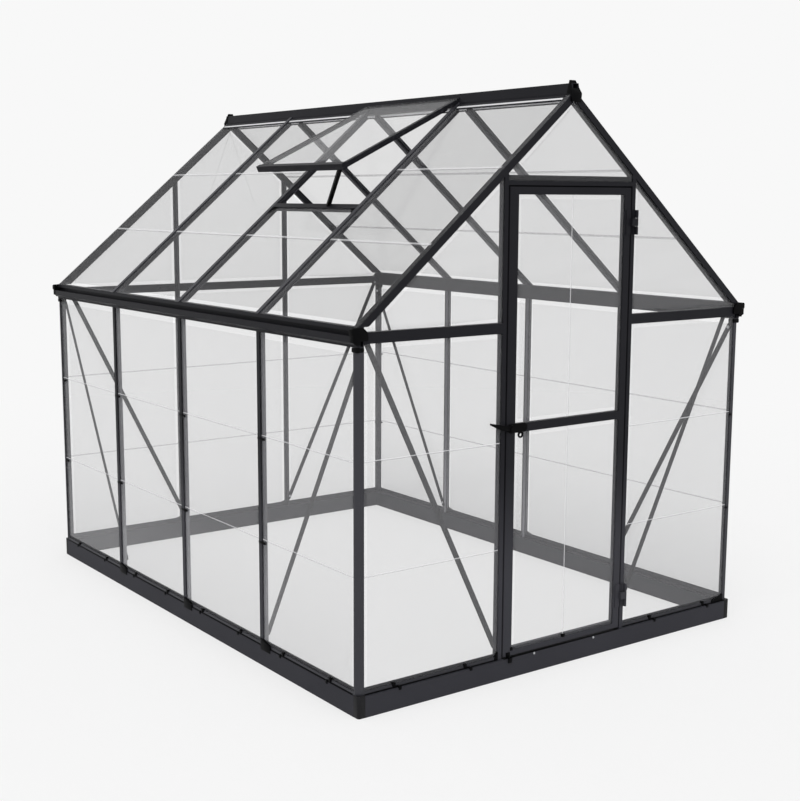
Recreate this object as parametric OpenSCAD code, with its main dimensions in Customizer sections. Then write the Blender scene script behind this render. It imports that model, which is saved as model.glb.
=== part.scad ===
// Walk-in gable greenhouse, aluminium frame with clear sheet glazing
// Millimetres, +Z up, door gable faces -Y, origin at the middle of the base on the ground

/* [Base frame] */
// Outside width of the base
base_w = 1821; // [1600:1:2200]
// Outside length of the base
base_l = 2470; // [2200:1:3200]
// Height of the base rails
base_h = 72; // [50:1:110]
// Depth of a base rail, outside to inside
base_d = 40; // [39:1:50]
// Sheet thickness of a base rail
base_t = 2; // [1:0.5:3]
// Bottom return of a base rail
base_lip = 11; // [6:1:15]
// Length of a base corner piece along each side
corner_face = 28; // [24:1:34]
// Rounding of a base corner piece
corner_r = 9; // [4:1:12]
// Rim of a base corner piece round the foot of the post
corner_rim = 5; // [2:1:10]

/* [Wall frame] */
// Step from the base face in to the long wall face
side_inset = 2; // [2:1:4]
// Step from the base face in to the gable face
gable_inset = 10; // [7:1:11]
// Depth of every wall member
member_d = 28; // [25:1:28]
// Width of the 45 degree face of a corner post, measured along each side
post_chamfer = 13; // [8:1:13]
// Width of a corner post along the long wall
post_side = 20; // [20:1:24]
// Face width of a stud or rafter
stud_w = 20; // [18:1:26]
// Width of the inner flange of a stud
stud_back = 8; // [6:1:16]
// Distance between studs in a long wall
stud_pitch = 609; // [540:1:620]
// Distance from the middle to a stud in the rear wall
rear_stud_x = 305; // [250:1:350]
// Width of a door jamb
jamb_w = 17; // [15:1:30]
// Outer flange thickness of the extrusions
flange_t = 4; // [3:0.5:5]
// Width of the glazing slot
slot_w = 4; // [4:0.5:5]
// Depth of the glazing slot
slot_bite = 7; // [5:1:7]
// Wall thickness of the extrusions
wall_t = 3; // [2:0.5:3.5]
// Height of a sill
sill_h = 14; // [10:1:18]
// Height of the inner flange of a sill behind the sheets
sill_back = 24; // [20:1:30]
// Step of a sill back from the wall face
sill_step = 1; // [0.5:0.5:2]
// Height of the underside of the gutter beam
eave_z = 1218; // [1100:1:1300]
// Lower edge of a gable rail above the gutter underside
rail_up = 10; // [4:1:14]
// Height of a gable rail
rail_h = 36; // [30:1:50]
// Width of a diagonal brace
brace_w = 20; // [12:1:24]
// Thickness of a diagonal brace
brace_t = 3; // [2:0.5:4]
// Upper end of a side brace below the gutter beam
brace_drop = 25; // [15:1:60]
// Lower end of a brace above the base
brace_rise = 45; // [20:1:80]
// Upper end of a gable brace in from the corner post
brace_in = 22; // [12:1:60]
// Upper end of a gable brace above the lower edge of its rail
brace_on_rail = 14; // [11:1:30]

/* [Glazing] */
// Thickness of the clear sheets
pane_t = 3; // [2:0.5:3.5]
// Play left around a sheet in its slot
pane_gap = 1; // [0.5:0.5:2]

/* [Gutter and roof] */
// Height of the gutter beam
gutter_h = 64; // [58:1:80]
// Reach of the gutter trough beyond the wall face
trough_w = 17; // [14:1:24]
// Trough floor above the underside of the beam
trough_up = 8; // [4:1:12]
// Width of the flat floor of the trough
trough_flat = 5; // [4:1:8]
// Rise of the sloping side of the trough
trough_rise = 9; // [6:1:12]
// Lip of the trough below the top of the beam
trough_lip = 27; // [24:1:30]
// Width of the folded lip of the trough
trough_fold = 5; // [4:1:7]
// Height of the top flange of the gutter beam
top_h = 13; // [8:1:16]
// Depth of the recess under the top flange
recess_d = 12; // [6:1:14]
// Thickness of a gutter end cap
gutter_cap_t = 8; // [4:1:9]
// Radius of the round shoulder of a gutter end cap
cap_r = 31; // [24:1:34]
// Top of a gutter end cap below the top of the beam
cap_drop = 1; // [1:1:6]
// Underside of a gutter end cap above the underside of the beam
cap_low = 20; // [14:1:24]
// Reach of a gutter end cap in from the wall face
cap_in = 40; // [36:1:44]
// Reach of the lip of a gutter end cap beyond the trough
cap_lip = 5; // [2:1:8]
// Height of the lip of a gutter end cap
cap_lip_h = 20; // [12:1:26]
// Length of the sleeve of a gutter end cap along the trough
cap_sleeve = 12; // [6:1:30]
// Width of the drain outlet in a gutter end cap
outlet_w = 16; // [10:1:18]
// Drop of the drain outlet below the cap
outlet_drop = 12; // [6:1:13]
// Roof pitch in degrees
pitch = 40.35; // [36:0.05:44]
// Roof face above the gutter beam at the wall face
roof_lift = 4.2; // [2:0.1:8]
// Depth of a gable rafter
rafter_d = 37.5; // [30:0.5:40]
// Front flange of a gable rafter above its underside
rafter_step = 6; // [2:1:8]
// Edge of the roof sheets in from the gable face
sheet_edge = 4; // [2:1:8]
// Depth of an intermediate rafter
mid_rafter_d = 26; // [24:1:30]
// Width of the ridge beam
ridge_w = 42; // [38:1:48]
// Ridge top above the meeting line of the roof faces
ridge_up = 15; // [8:1:20]
// Width of the flat top of the ridge
ridge_flat = 28; // [26:1:36]
// Depth of the ridge beam below the roof face
ridge_d = 14; // [10:1:20]
// Ridge end cap above the ridge top
ridge_cap_up = 11; // [8:1:24]
// Width of a ridge end cap at its top
ridge_cap_w = 24; // [20:1:32]
// Cheek thickness of a ridge end cap
ridge_cheek = 3; // [2:0.5:5]
// Length of a ridge end cap over the ridge
ridge_hood = 19; // [14:1:40]
// Flat top of a ridge end cap along the ridge
ridge_cap_top = 6; // [4:1:12]
// Front nose of a ridge end cap below the ridge top
ridge_nose = 33; // [24:1:44]
// Lower edge of a ridge end cap below the ridge beam
ridge_skirt = 12; // [8:1:18]

/* [Roof vent] */
// Angle of the open vent below level
vent_angle = 25.6; // [22:0.1:32]
// Length of the vent from hinge to lower bar
vent_len = 594; // [560:1:610]
// Width of the vent
vent_w = 610; // [600:1:640]
// Width of a vent side bar
vent_bar = 20; // [14:1:24]
// Depth of the vent bars
vent_d = 16; // [12:1:22]
// Hinge line of the vent out from the flat ridge top
vent_out = 6; // [4:1:10]
// Hinge line of the vent below the ridge top
vent_fall = 15; // [8:1:20]
// Reach of the vent's hinge bar towards the ridge
vent_lap = 8; // [6:1:12]
// Part of the vent's hinge bar below the hinge line
vent_head = 8; // [5:1:14]
// Extra depth of the vent's lower bar
vent_nose = 8; // [2:1:12]
// Distance of the vent sill from the ridge line along the slope
vent_sill_s = 617; // [600:1:660]
// Width of the vent sill along the slope
vent_sill_w = 22; // [18:1:30]
// Depth of the vent sill
vent_sill_d = 22; // [16:1:24]
// Thickness of the prop stay
stay_w = 14; // [6:1:18]
// Foot of the prop stay from the middle of the vent
stay_foot = 97; // [0:1:140]
// Head of the prop stay from the middle of the vent
stay_head = 286; // [240:1:300]

/* [Door] */
// Width of the door leaf
door_w = 572; // [480:1:620]
// Lower edge of the door above the base
door_up = 6; // [5:1:9]
// Gap beside the door leaf
door_side_gap = 7; // [6:1:10]
// Gap above the door leaf
door_top_gap = 5; // [5:1:8]
// Depth of the door frame
door_d = 22; // [18:1:25]
// Width of the door stile with the handle
lock_stile_w = 39; // [36:1:46]
// Width of the door stile with the hinges
hinge_stile_w = 29; // [28:1:46]
// Height of the door's top rail
top_rail_h = 26; // [24:1:40]
// Height of the door's bottom rail
bottom_rail_h = 28; // [24:1:40]
// Front flange of the bottom rail below its top
bottom_step = 10; // [4:1:12]
// Height of the door's middle rail
mid_rail_h = 30; // [26:1:50]
// Lower edge of the middle rail above the ground
mid_rail_z = 881; // [860:1:890]
// Height of the door header
header_h = 34; // [26:1:40]
// Front flange of the door header below its top
header_step = 19; // [10:1:22]
// Drop of the stop behind the top of the door
stop_drop = 13; // [8:1:20]
// Length of a hinge
hinge_len = 88; // [60:1:110]
// Middle of the upper hinge below the top of the door
hinge_drop = 123; // [100:1:300]
// Middle height of the lower hinge
hinge_low_z = 203; // [160:1:300]
// Radius of the hinge barrel
hinge_r = 5; // [4.5:0.5:7]
// Radius of the hinge pin
hinge_pin_r = 2.5; // [2:0.5:3.5]
// Gap between the hinge barrel and the hinge leaf
hinge_gap = 2; // [1.5:0.5:3]
// Width of the hinge leaf on the jamb
leaf_w = 13; // [10:1:16]
// Width of the hinge strap on the door
strap_w = 22; // [14:1:28]
// Running play in the hinges and the handle
play = 0.5; // [0.3:0.1:0.8]
// Height of the handle
handle_z = 897; // [885:1:905]
// Handle spindle in from the edge of the door
handle_in = 17; // [14:1:20]
// Reach of the handle lever from its spindle
handle_reach = 98; // [70:1:110]
// Radius of the handle hub
handle_r = 11; // [9:1:13]
// Radius of the handle spindle
spindle_r = 5; // [4:0.5:6]
// Length of the handle hub
hub_l = 12; // [9:1:16]
// Rim of the handle rose round the hub
rose_rim = 5; // [2:1:6]
// Length of the handle rose from the spindle to its round end
rose_l = 59; // [40:1:64]
// Thickness of the handle rose
rose_t = 4; // [3:0.5:6]
// Gap between the rose and the hub
hub_gap = 2; // [1:0.5:3]
// Thickness of the handle lever
lever_t = 7; // [5:1:9]
// Height of the handle lever at the hub
lever_h = 16; // [12:1:18]
// Height of the handle lever at its tip
lever_tip = 6; // [4:1:10]
// Rise of the handle lever from the hub to its tip
lever_rise = 26; // [10:1:32]
// Radius of the padlock eye
eye_r = 12; // [9:0.5:14]
// Radius of the hole in the padlock eye
eye_hole_r = 5.5; // [4:0.5:7]
// Padlock eye off the handle spindle
eye_x = 45; // [28:1:56]
// Padlock eye below the edge of the hub
eye_drop = 13; // [8:1:15]

/* [Hidden] */
$fn = 48;
wx = base_w / 2 - side_inset;
wy = base_l / 2 - gable_inset;
eave_top = eave_z + gutter_h;
apex_z = eave_top + roof_lift + wx * tan(pitch);
pane_d = flange_t + slot_w - pane_t;
back_d = flange_t + slot_w;
neck = stud_w - 2 * slot_bite;
stud_edge = neck / 2 + pane_gap;
bite = slot_bite - pane_gap;
jamb_in = door_w / 2 + door_side_gap;
jamb_out = jamb_in + jamb_w;
door_z0 = base_h + door_up;
header_z1 = roof_z(jamb_in, rafter_d);
header_z0 = header_z1 - header_h;
door_z1 = header_z0 - door_top_gap;
door_h = door_z1 - door_z0;
hinge_top_z = door_z1 - hinge_drop;
rail_z0 = eave_z + rail_up;
rail_z1 = rail_z0 + rail_h;
pane_z0 = base_h + wall_t;
side_pane_z1 = eave_z - pane_gap;
trough_top = gutter_h - trough_lip;
ridge_half = ridge_w / 2;
ridge_top = apex_z + ridge_up;
ridge_low = roof_z(ridge_half, ridge_d);
gable_n = rafter_d - rafter_step - bite;
vent_y = -stud_pitch / 2;
vent_x0 = ridge_flat / 2 + vent_out;
vent_z0 = ridge_top - vent_fall;
hinge_x = jamb_out;
hinge_y = -wy - wall_t - hinge_gap - hinge_r;
handle_x = -door_w / 2 + handle_in;
leaf_x0 = -door_w / 2 + lock_stile_w;
leaf_x1 = door_w / 2 - hinge_stile_w;
big = 4000;
cut = 1;

// Height of a line parallel to the roof face, n below it, at the distance x from the middle
function roof_z(x, n) = apex_z - x * tan(pitch) - n / cos(pitch);

// Distance from the middle at which that line has the height z
function roof_x(z, n) = (apex_z - n / cos(pitch) - z) / tan(pitch);

// Extrude a section drawn in x and z along the length of the building
module run_y(y0, y1) {
    translate([0, y1, 0]) rotate([90, 0, 0]) linear_extrude(y1 - y0) children();
}

// Copy to both sides of the middle plane
module both_x() {
    children();
    mirror([1, 0, 0]) children();
}

// Copy to both gables
module both_y() {
    children();
    mirror([0, 1, 0]) children();
}

// Right roof slope: x is the depth below the roof face, z runs down from the ridge line
module slope() {
    translate([0, 0, apex_z]) rotate([0, 90 + pitch, 0]) children();
}

// Space between the ridge beam and the top of the gutter beam, right side
module roof_zone() {
    translate([ridge_half, -big / 2, eave_top]) cube([big, big, big]);
}

// Gable outline up to the depth n below the roof faces
module gable_outline(n) {
    polygon([[0, roof_z(0, n)], [big, roof_z(big, n)], [big, -2 * big],
             [-big, -2 * big], [-big, roof_z(big, n)]]);
}

// Space below the gable rafters, with the step of their front flanges
module gable_zone() {
    run_y(-big / 2, big / 2) gable_outline(rafter_d);
    both_y() run_y(wy - back_d, wy) gable_outline(rafter_d - rafter_step);
}

// Stud or rafter section, depth along x, width along y, slots on both sides, inner flange of width back
module bar_section(depth, back) {
    difference() {
        union() {
            translate([0, -stud_w / 2]) square([back_d + wall_t, stud_w]);
            translate([0, -back / 2]) square([depth, back]);
        }
        for (k = [-1, 1]) {
            translate([flange_t, k > 0 ? neck / 2 : -stud_w]) square([slot_w, stud_w - neck / 2]);
            translate([back_d + wall_t, k > 0 ? wall_t / 2 : -stud_w])
                square([depth - back_d - 2 * wall_t, stud_w - wall_t / 2]);
        }
    }
}

// Corner post section, both depths from the outer faces
module post_section() {
    difference() {
        polygon([[post_chamfer, 0], [member_d, 0], [member_d, post_side], [0, post_side], [0, post_chamfer]]);
        translate([member_d - slot_bite, flange_t]) square([member_d, slot_w]);
        translate([flange_t, post_side - slot_bite]) square([slot_w, post_side]);
        translate([back_d + wall_t, back_d + wall_t])
            square([member_d - back_d - 2 * wall_t, post_side - back_d - 2 * wall_t]);
    }
}

// Jamb section, x outward from the door opening, y depth from the outer face
module jamb_section() {
    difference() {
        square([jamb_w, member_d]);
        translate([jamb_w - slot_bite, flange_t]) square([jamb_w, slot_w]);
        translate([wall_t, back_d + wall_t])
            square([jamb_w - 2 * wall_t, member_d - back_d - 2 * wall_t]);
    }
}

// Rail section, x depth from the outer face, y height, slots chosen by up and down, front lower by step
module rail_section(depth, h, up, down, step) {
    difference() {
        square([depth, h]);
        if (step > 0) translate([-cut, h - step]) square([back_d + cut, step + cut]);
        if (up) translate([flange_t, h - step - slot_bite]) square([slot_w, slot_bite + cut]);
        if (down) translate([flange_t, -cut]) square([slot_w, slot_bite + cut]);
        translate([back_d + wall_t, wall_t])
            square([depth - back_d - 2 * wall_t, h - 2 * wall_t]);
    }
}

// Folded base rail section, x from the outer face inward
module base_section() {
    difference() {
        square([base_d, base_h]);
        translate([base_t, base_t]) square([base_d - 2 * base_t, base_h - 2 * base_t]);
        translate([base_lip, -cut]) square([base_d - 2 * base_lip, base_t + 2 * cut]);
    }
}

// Base rail of a given outer length, outer face on y = 0, inside towards +y
module base_rail(len) {
    intersection() {
        translate([-len / 2, 0, 0]) rotate([90, 0, 90]) linear_extrude(len) base_section();
        linear_extrude(base_h)
            polygon([[-len / 2 + corner_face, 0], [len / 2 - corner_face, 0],
                     [len / 2 - base_d, base_d], [-len / 2 + base_d, base_d]]);
    }
}

module base_front() {
    color("#404044") translate([0, -base_l / 2, 0]) base_rail(base_w);
}

module base_rear() {
    color("#404044") translate([0, base_l / 2, 0]) rotate([0, 0, 180]) base_rail(base_w);
}

module base_left() {
    color("#404044") translate([-base_w / 2, 0, 0]) rotate([0, 0, -90]) base_rail(base_l);
}

module base_right() {
    color("#404044") translate([base_w / 2, 0, 0]) rotate([0, 0, 90]) base_rail(base_l);
}

// Base corner in plan, from the outer corner inward
module corner_plan() {
    polygon([[corner_r, 0], [corner_face, 0], [base_d, base_d], [0, corner_face], [0, corner_r]]);
    translate([corner_r, corner_r]) circle(corner_r);
}

module base_corners() {
    color("#222224") both_y() both_x() translate([-base_w / 2, -base_l / 2, 0]) {
        linear_extrude(base_h) corner_plan();
        linear_extrude(base_h + corner_rim) difference() {
            corner_plan();
            translate([side_inset, gable_inset])
                polygon([[post_chamfer, 0], [big, 0], [big, big], [0, big], [0, post_chamfer]]);
        }
    }
}

// Sill section, x depth from the outer wall face, y height above the base
module sill_section() {
    difference() {
        union() {
            translate([sill_step, 0]) square([member_d - 2 * sill_step, sill_h]);
            translate([back_d, 0]) square([wall_t, sill_back]);
        }
        translate([flange_t, wall_t]) square([slot_w, sill_h]);
        translate([back_d + wall_t, wall_t]) square([member_d, sill_h]);
    }
}

// One sill of a given length, outer face on y = 0, inside towards +y
module sill(x0, x1) {
    translate([x0, 0, base_h]) rotate([90, 0, 90]) linear_extrude(x1 - x0) sill_section();
}

// Left wall sills, one in each bay
module side_sills() {
    translate([-wx, 0, 0]) rotate([0, 0, -90]) both_x() {
        sill(stud_w / 2, stud_pitch - stud_w / 2);
        sill(stud_pitch + stud_w / 2, wy - post_side);
    }
}

module left_sills() {
    color("#303034") side_sills();
}

module right_sills() {
    color("#303034") mirror([1, 0, 0]) side_sills();
}

module rear_sills() {
    color("#303034") translate([0, wy, 0]) rotate([0, 0, 180]) {
        sill(-rear_stud_x + stud_w / 2, rear_stud_x - stud_w / 2);
        both_x() sill(rear_stud_x + stud_w / 2, wx - member_d);
    }
}

module front_sills() {
    color("#303034") translate([0, -wy, 0]) both_x() sill(jamb_out, wx - member_d);
}

module corner_posts() {
    color("#3a3a3e") both_y() both_x()
        translate([-wx, -wy, base_h]) linear_extrude(eave_z - base_h) post_section();
}

module side_studs() {
    for (y = [-stud_pitch, 0, stud_pitch])
        translate([-wx, y, base_h]) linear_extrude(eave_z - base_h) bar_section(member_d, stud_back);
}

module left_studs() {
    color("#3a3a3e") side_studs();
}

module right_studs() {
    color("#3a3a3e") mirror([1, 0, 0]) side_studs();
}

module rear_studs() {
    color("#3a3a3e") intersection() {
        both_x() translate([rear_stud_x, wy, base_h]) rotate([0, 0, -90])
            linear_extrude(big) bar_section(member_d, stud_back);
        gable_zone();
    }
}

module door_jambs() {
    color("#26262a") intersection() {
        both_x() translate([jamb_in, -wy, base_h]) linear_extrude(big) jamb_section();
        gable_zone();
    }
}

// Header section, x depth from the outer face, with a low front flange and a stop behind the door
module header_section() {
    front_h = header_h - header_step;
    difference() {
        square([member_d, header_h]);
        translate([-cut, front_h]) square([back_d + cut, header_h]);
        translate([flange_t, front_h - slot_bite]) square([slot_w, header_h]);
        translate([back_d + wall_t, wall_t]) square([member_d - back_d - 2 * wall_t, header_h - 2 * wall_t]);
    }
    translate([door_d + door_top_gap, -stop_drop]) square([wall_t, header_h + stop_drop]);
}

module door_header() {
    color("#26262a") translate([-jamb_in, -wy, header_z0]) rotate([90, 0, 90])
        linear_extrude(2 * jamb_in) header_section();
}

// Gutter beam section, x outward from the wall face, y above the underside
module gutter_section() {
    flange_z = gutter_h - top_h;
    floor_z = trough_up + wall_t;
    difference() {
        translate([-member_d, 0]) square([member_d, gutter_h]);
        translate([-recess_d, floor_z]) square([recess_d + cut, flange_z - floor_z]);
        translate([wall_t - member_d, wall_t])
            square([member_d - recess_d - 2 * wall_t, gutter_h - 2 * wall_t]);
    }
    difference() {
        polygon([[-cut, trough_up], [trough_flat, trough_up], [trough_w, trough_up + trough_rise],
                 [trough_w, trough_top], [trough_w - trough_fold, trough_top],
                 [trough_w - trough_fold, trough_top - wall_t], [-cut, trough_top - wall_t]]);
        polygon([[-2 * cut, floor_z], [trough_flat - wall_t / 3, floor_z],
                 [trough_w - wall_t, trough_up + trough_rise + wall_t / 2],
                 [trough_w - wall_t, trough_top - wall_t], [-2 * cut, trough_top - wall_t]]);
    }
}

module right_gutter() {
    color("#323236") run_y(-wy, wy) translate([wx, eave_z]) gutter_section();
}

module left_gutter() {
    color("#323236") mirror([1, 0, 0]) run_y(-wy, wy) translate([wx, eave_z]) gutter_section();
}

// End cap outline with a round shoulder, a lip and a drain outlet, x outward from the wall face
module cap_outline() {
    top = gutter_h - cap_drop;
    shoulder = cap_r - cap_in;
    out = trough_w + cap_lip;
    intersection() {
        translate([shoulder, top - cap_r]) circle(cap_r);
        translate([-cap_in, cap_low]) square([cap_r, gutter_h]);
    }
    polygon([[shoulder - cut, cap_low - outlet_drop], [shoulder + outlet_w, cap_low - outlet_drop],
             [shoulder + outlet_w, trough_up + trough_rise - cap_lip],
             [trough_w + cut, trough_up + trough_rise], [trough_w + cut, top - cap_lip_h - cap_lip],
             [out, top - cap_lip_h], [out, top - cap_lip], [out - cap_lip, top - cut],
             [shoulder, top], [shoulder - cut, top - cut]]);
}

module gutter_end_caps() {
    color("#141416") both_y() both_x() translate([0, 0, eave_z]) {
        run_y(wy, wy + gutter_cap_t) translate([wx, 0]) cap_outline();
        run_y(wy - cap_sleeve, wy + gutter_cap_t) translate([wx, 0]) intersection() {
            cap_outline();
            translate([trough_w, 0]) square([trough_w, gutter_h]);
        }
    }
}

// Gable rails of one gable, front side, from x0 out to the gutter beam
module side_rail(x0) {
    translate([x0, -wy, rail_z0]) rotate([90, 0, 90])
        linear_extrude(wx - member_d - x0) rail_section(member_d, rail_h, true, true, 0);
}

module front_eave_rails() {
    color("#303034") both_x() side_rail(jamb_out);
}

module rear_eave_rails() {
    color("#303034") mirror([0, 1, 0]) {
        both_x() side_rail(rear_stud_x + stud_w / 2);
        translate([stud_w / 2 - rear_stud_x, -wy, rail_z0]) rotate([90, 0, 90])
            linear_extrude(2 * rear_stud_x - stud_w) rail_section(member_d, rail_h, true, true, 0);
    }
}

// Gable rafter section under the roof sheets, x below the roof face, y inward from the gable face
module gable_rafter_section() {
    front_d = rafter_d - rafter_step;
    difference() {
        translate([back_d, 0]) square([rafter_d - back_d, member_d]);
        translate([front_d, -cut]) square([rafter_d, back_d + cut]);
        translate([front_d - slot_bite, flange_t]) square([rafter_d, slot_w]);
        translate([back_d + wall_t, back_d + wall_t])
            square([rafter_d - back_d - 2 * wall_t, member_d - back_d - 2 * wall_t]);
    }
}

// Gable rafters of the front, each cut upright at the apex and round the ridge beam
module gable_rafters() {
    both_x() difference() {
        intersection() {
            translate([0, -wy, 0]) slope() linear_extrude(big) gable_rafter_section();
            translate([play, -big / 2, eave_top]) cube(big);
        }
        run_y(-big / 2, big / 2) ridge_outline();
    }
}

module front_gable_rafters() {
    color("#2c2c30") gable_rafters();
}

module rear_gable_rafters() {
    color("#2c2c30") mirror([0, 1, 0]) gable_rafters();
}

// Intermediate rafters of the right slope
module slope_rafters() {
    intersection() {
        for (y = [-stud_pitch, 0, stud_pitch])
            translate([0, y, 0]) slope() linear_extrude(big) bar_section(mid_rafter_d, stud_w);
        roof_zone();
    }
}

module left_rafters() {
    color("#3a3a3e") mirror([1, 0, 0]) slope_rafters();
}

module right_rafters() {
    color("#3a3a3e") slope_rafters();
}

// Outline of the ridge beam with leaning shoulders above the rafters
module ridge_outline() {
    shoulder = roof_z(ridge_half, 0);
    polygon([[-ridge_flat / 2, ridge_top], [ridge_flat / 2, ridge_top], [ridge_half, shoulder],
             [ridge_half, ridge_low], [-ridge_half, ridge_low], [-ridge_half, shoulder]]);
}

module ridge_beam() {
    hollow_w = ridge_flat - 2 * wall_t;
    color("#2a2a2e") run_y(-wy, wy) difference() {
        ridge_outline();
        translate([-hollow_w / 2, ridge_low + wall_t])
            square([hollow_w, ridge_top - ridge_low - 2 * wall_t]);
    }
}

// Ridge end cap seen along the ridge, down to the height z at its middle
module ridge_cap_outline(z) {
    half = ridge_half + ridge_cheek;
    polygon([[-ridge_cap_w / 2, ridge_top + ridge_cap_up], [ridge_cap_w / 2, ridge_top + ridge_cap_up],
             [half, roof_z(half, 0)], [ridge_half, z], [-ridge_half, z], [-half, roof_z(half, 0)]]);
}

// Moulded cap: a plate on the gable end and a hood over the ridge, with a leaning front
module ridge_end_caps() {
    top = ridge_top + ridge_cap_up;
    back = wy - ridge_hood;
    front = wy + gutter_cap_t;
    color("#121214") both_y() intersection() {
        union() {
            run_y(wy, front) ridge_cap_outline(ridge_low - ridge_skirt);
            difference() {
                run_y(back, front) ridge_cap_outline(roof_z(ridge_half, 0));
                run_y(0, wy) ridge_outline();
            }
        }
        rotate([90, 0, 90]) translate([0, 0, -big / 2]) linear_extrude(big)
            polygon([[back, 0], [front, 0], [front, ridge_top - ridge_nose],
                     [back + ridge_cap_top, top], [back, top]]);
    }
}

// Flat bar between two points of the inner wall face, drawn in length and height
module brace(a0, z0, a1, z1) {
    ang = atan2(z1 - z0, a1 - a0);
    len = norm([a1 - a0, z1 - z0]);
    translate([a0, 0, z0]) rotate([90, -ang, 0]) translate([0, 0, -brace_t])
        linear_extrude(brace_t) {
            translate([0, -brace_w / 2]) square([len, brace_w]);
            circle(brace_w / 2);
            translate([len, 0]) circle(brace_w / 2);
        }
}

module side_braces() {
    color("#4a4a4e") both_y() both_x() translate([-wx + member_d, 0, 0]) rotate([0, 0, -90])
        brace(wy - back_d - 2 * pane_gap - brace_w / 2, eave_z - brace_drop, stud_pitch, base_h + brace_rise);
}

module gable_braces() {
    color("#4a4a4e") {
        both_x() translate([0, -wy + member_d, 0])
            brace(wx - member_d - brace_in, rail_z0 + brace_on_rail,
                  jamb_in + brace_w / 2 + pane_gap, base_h + brace_rise);
        mirror([0, 1, 0]) both_x() translate([0, -wy + member_d, 0])
            brace(wx - member_d - brace_in, rail_z0 + brace_on_rail, rear_stud_x, base_h + brace_rise);
    }
}

// Upright sheet in a long wall, front half of the right wall
module side_sheets() {
    translate([wx - pane_d - pane_t, 0, 0]) both_y() {
        translate([0, stud_edge, pane_z0])
            cube([pane_t, stud_pitch - 2 * stud_edge, side_pane_z1 - pane_z0]);
        translate([0, stud_pitch + stud_edge, pane_z0])
            cube([pane_t, wy - post_side + bite - stud_pitch - stud_edge, side_pane_z1 - pane_z0]);
    }
}

module left_panes() {
    color("#dfe6ea", 0.4) mirror([1, 0, 0]) side_sheets();
}

module right_panes() {
    color("#dfe6ea", 0.4) side_sheets();
}

// Gable sheets beside the door or the middle bay, from x0 to the corner post
module gable_side_sheets(x0) {
    x1 = wx - member_d;
    run_y(-wy + pane_d, -wy + pane_d + pane_t) {
        polygon([[x0, pane_z0], [x1 + bite, pane_z0], [x1 + bite, eave_z - pane_gap],
                 [x1 - pane_gap, eave_z - pane_gap], [x1 - pane_gap, rail_z0 + bite], [x0, rail_z0 + bite]]);
        polygon([[x0, rail_z1 - bite], [x1 - pane_gap, rail_z1 - bite], [x1 - pane_gap, eave_top - pane_gap],
                 [roof_x(eave_top - pane_gap, gable_n), eave_top - pane_gap],
                 [x0, roof_z(x0, gable_n)]]);
    }
}

module front_panes() {
    tip_z = ridge_low - pane_gap;
    side_x = jamb_in - pane_gap;
    low = header_z1 - header_step - bite;
    color("#dfe6ea", 0.4) {
        both_x() gable_side_sheets(jamb_out - bite);
        run_y(-wy + pane_d, -wy + pane_d + pane_t)
            polygon([[-side_x, low], [side_x, low],
                     [side_x, roof_z(side_x, gable_n)], [roof_x(tip_z, gable_n), tip_z],
                     [-roof_x(tip_z, gable_n), tip_z], [-side_x, roof_z(side_x, gable_n)]]);
    }
}

module rear_panes() {
    tip_z = ridge_low - pane_gap;
    mid_x = rear_stud_x - stud_edge;
    color("#dfe6ea", 0.4) mirror([0, 1, 0]) {
        both_x() gable_side_sheets(rear_stud_x + stud_edge);
        run_y(-wy + pane_d, -wy + pane_d + pane_t) {
            polygon([[-mid_x, pane_z0], [mid_x, pane_z0], [mid_x, rail_z0 + bite], [-mid_x, rail_z0 + bite]]);
            polygon([[-mid_x, rail_z1 - bite], [mid_x, rail_z1 - bite],
                     [mid_x, roof_z(mid_x, gable_n)], [roof_x(tip_z, gable_n), tip_z],
                     [-roof_x(tip_z, gable_n), tip_z], [-mid_x, roof_z(mid_x, gable_n)]]);
        }
    }
}

// Sheet of the right slope between two lines across the slope
module roof_sheet(y0, y1, s0) {
    intersection() {
        slope() translate([pane_d, y0, s0]) cube([pane_t, y1 - y0, big]);
        translate([pane_gap, 0, 0]) roof_zone();
    }
}

module right_roof_panes() {
    color("#dfe6ea", 0.4) both_y() {
        roof_sheet(stud_edge, stud_pitch - stud_edge, 0);
        roof_sheet(stud_pitch + stud_edge, wy - sheet_edge, 0);
    }
}

module left_roof_panes() {
    color("#dfe6ea", 0.4) mirror([1, 0, 0]) {
        both_y() roof_sheet(stud_pitch + stud_edge, wy - sheet_edge, 0);
        roof_sheet(stud_edge, stud_pitch - stud_edge, 0);
        roof_sheet(-stud_pitch + stud_edge, -stud_edge, vent_sill_s + vent_sill_w - bite);
    }
}

// Open vent in the left slope: x is the depth below its top face, z runs down from the hinge
module vent_frame() {
    mirror([1, 0, 0]) translate([vent_x0, vent_y, vent_z0]) rotate([0, 90 + vent_angle, 0]) children();
}

module vent_hinge_bar() {
    color("#2a2a2e") difference() {
        vent_frame() translate([0, -vent_w / 2, -vent_lap]) cube([vent_d, vent_w, vent_lap + vent_head]);
        run_y(-big, big) ridge_outline();
    }
}

module vent_side_bars() {
    color("#2a2a2e") difference() {
        vent_frame() both_y() translate([pane_t, vent_w / 2 - vent_bar, vent_head]) difference() {
            cube([vent_d - pane_t, vent_bar, vent_len - vent_head - vent_bar]);
            translate([wall_t, -cut, -cut])
                cube([vent_d - pane_t - 2 * wall_t, vent_bar - wall_t + cut, vent_len]);
        }
        run_y(-big, big) ridge_outline();
    }
}

module vent_lower_bar() {
    color("#1c1c1f") vent_frame() translate([0, -vent_w / 2, vent_len - vent_bar])
        cube([vent_d + vent_nose, vent_w, vent_bar]);
}

module vent_pane() {
    color("#dfe6ea", 0.4) vent_frame() translate([0, -vent_w / 2, vent_head])
        cube([pane_t, vent_w, vent_len - vent_head - vent_bar]);
}

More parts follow.
